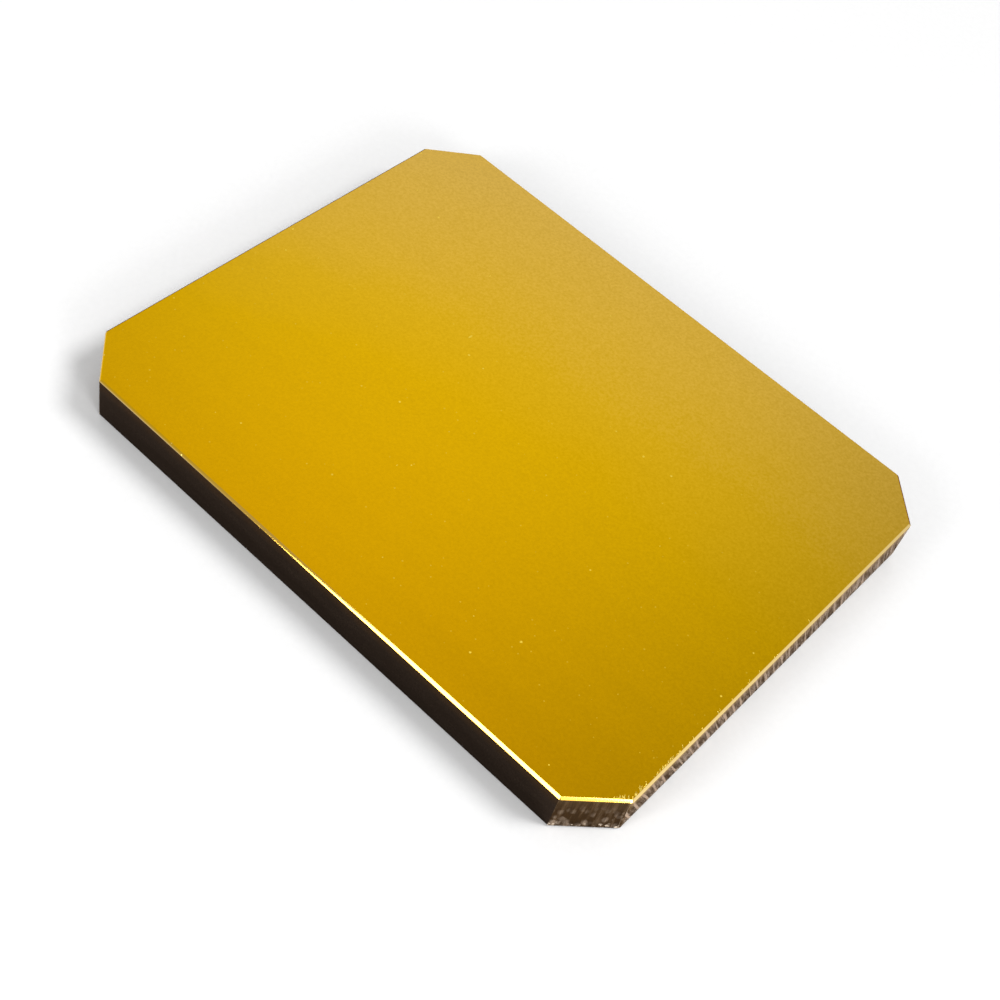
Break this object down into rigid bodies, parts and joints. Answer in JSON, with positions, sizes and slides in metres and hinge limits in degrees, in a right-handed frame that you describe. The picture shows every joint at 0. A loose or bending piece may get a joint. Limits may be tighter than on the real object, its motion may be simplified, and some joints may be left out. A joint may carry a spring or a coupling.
{
  "type": "optical window",
  "caption": "Flat rectangular infrared window with corners cut at 45 degrees, bevelled rims and gold-coloured coated faces.",
  "frame": {"origin": "centre of the back face, on the surface that the plate lies on", "axes": "+X along the long sides, +Y along the short sides, +Z out of the front face"},
  "size_m": [0.15, 0.12, 0.0115],
  "materials": {
    "coated_crystal": "polished"
  },
  "bodies": {
    "root": {"window": "coated_crystal"}
  },
  "joints": []
}
